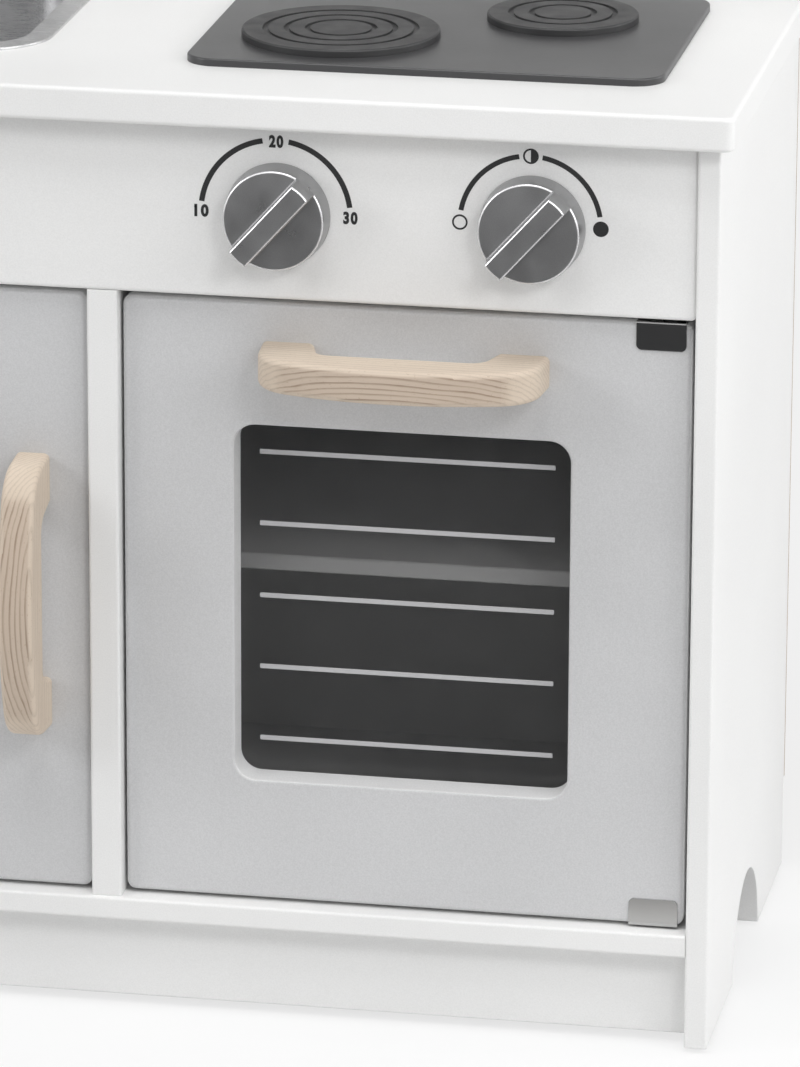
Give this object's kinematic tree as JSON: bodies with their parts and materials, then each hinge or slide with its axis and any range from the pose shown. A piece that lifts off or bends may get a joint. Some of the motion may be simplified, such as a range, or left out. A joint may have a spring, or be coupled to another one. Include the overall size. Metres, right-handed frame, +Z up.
{
  "type": "play kitchen",
  "caption": "Child's play kitchen with an oven, a cupboard, hinged doors with bow handles, turning knobs, a hob, a lift-out sink bowl with a swivel tap and an upper shelf.",
  "frame": {"origin": "on the floor, at the middle of the width and of the overall depth, handles included", "axes": "+X to the right as seen from the front, +Y to the back, +Z up"},
  "size_m": [0.66, 0.3356, 0.8384],
  "materials": {
    "white_paint": "satin white paint on MDF",
    "grey_paint": "satin light grey paint on MDF",
    "beech": "bare fine-sanded beech",
    "knob_plastic": "satin moulded dark grey",
    "smoked_pane": "clear smoked acrylic with printed lines",
    "clip_steel": "folded sheet steel",
    "fastener_steel": "zinc plated",
    "black_nylon": "moulded",
    "hardboard": "white-coated thin board",
    "bowl_steel": "brushed",
    "tap_plastic": "satin moulded grey",
    "hob_paint": "satin dark grey paint on thin board",
    "burner_plastic": "moulded black"
  },
  "bodies": {
    "carcass": {"side_panel_left": "white_paint", "side_panel_right": "white_paint", "base_board": "white_paint", "plinth": "white_paint", "divider": "white_paint", "upper_board": "white_paint", "control_panel": "white_paint", "back_panel": "hardboard", "oven_shelf": "white_paint", "cupboard_shelf": "white_paint", "worktop": "white_paint", "splashback": "white_paint", "upper_shelf": "white_paint", "shelf_bracket_left": "white_paint", "shelf_bracket_right": "white_paint", "corner_blocks": "beech", "carcass_dowels": "beech", "catch_blocks": "white_paint", "utensil_pegs": "beech", "back_panel_screws": "fastener_steel", "block_screws": "fastener_steel", "shelf_screws": "fastener_steel", "shelf_pins": "fastener_steel", "pivot_pins": "fastener_steel", "catch_magnets": "fastener_steel", "pivot_washers": "black_nylon", "foot_glides": "black_nylon", "hob_plate": "hob_paint", "burner_front": "burner_plastic", "burner_rear": "burner_plastic", "tap_base": "tap_plastic", "tap_nut": "tap_plastic", "tap_posts": "tap_plastic"},
    "oven_door": {"oven_door": "grey_paint", "oven_pane": "smoked_pane", "oven_small_screws": "fastener_steel", "oven_handle": "beech", "oven_handle_screws": "fastener_steel", "oven_clip_top": "clip_steel", "oven_clip_bottom": "clip_steel", "oven_strike_plate": "clip_steel"},
    "cupboard_door": {"cupboard_door": "grey_paint", "cupboard_handle": "beech", "cupboard_handle_screws": "fastener_steel", "cupboard_clip_screws": "fastener_steel", "cupboard_clip_top": "clip_steel", "cupboard_clip_bottom": "clip_steel", "cupboard_strike_plate": "clip_steel"},
    "timer_knob": {"timer_knob": "knob_plastic", "timer_knob_washer": "fastener_steel", "timer_knob_screw": "fastener_steel"},
    "heat_knob": {"heat_knob": "knob_plastic", "heat_knob_washer": "fastener_steel", "heat_knob_screw": "fastener_steel"},
    "tap_spout": {"tap_spout": "tap_plastic"},
    "hot_tap_knob": {"hot_tap_knob": "tap_plastic"},
    "cold_tap_knob": {"cold_tap_knob": "tap_plastic"},
    "sink_bowl": {"sink_bowl": "bowl_steel", "sink_drain": "bowl_steel"}
  },
  "joints": [
    {"name": "oven_door_hinge", "type": "hinge", "parent": "carcass", "child": "oven_door", "pos_m": [0.2967, -0.11325, 0.23015], "axis": [0, 0, 1], "range_deg": [0, 95]},
    {"name": "cupboard_door_hinge", "type": "hinge", "parent": "carcass", "child": "cupboard_door", "pos_m": [-0.2967, -0.11325, 0.23015], "axis": [0, 0, -1], "range_deg": [0, 95]},
    {"name": "timer_knob_turn", "type": "hinge", "parent": "carcass", "child": "timer_knob", "pos_m": [0.0929, -0.12915, 0.4422], "axis": [0, -1, 0], "continuous": true},
    {"name": "heat_knob_turn", "type": "hinge", "parent": "carcass", "child": "heat_knob", "pos_m": [0.2251, -0.12915, 0.4422], "axis": [0, -1, 0], "continuous": true},
    {"name": "spout_swivel", "type": "hinge", "parent": "carcass", "child": "tap_spout", "pos_m": [-0.159, 0.11175, 0.5464], "axis": [0, 0, 1], "range_deg": [-60, 60]},
    {"name": "hot_tap_turn", "type": "hinge", "parent": "carcass", "child": "hot_tap_knob", "pos_m": [-0.217, 0.11175, 0.5284], "axis": [0, 0, 1], "continuous": true},
    {"name": "cold_tap_turn", "type": "hinge", "parent": "carcass", "child": "cold_tap_knob", "pos_m": [-0.101, 0.11175, 0.5284], "axis": [0, 0, 1], "continuous": true},
    {"name": "sink_bowl_lift", "type": "slide", "parent": "carcass", "child": "sink_bowl", "axis": [0, 0, 1], "range_m": [0, 0.06]}
  ]
}
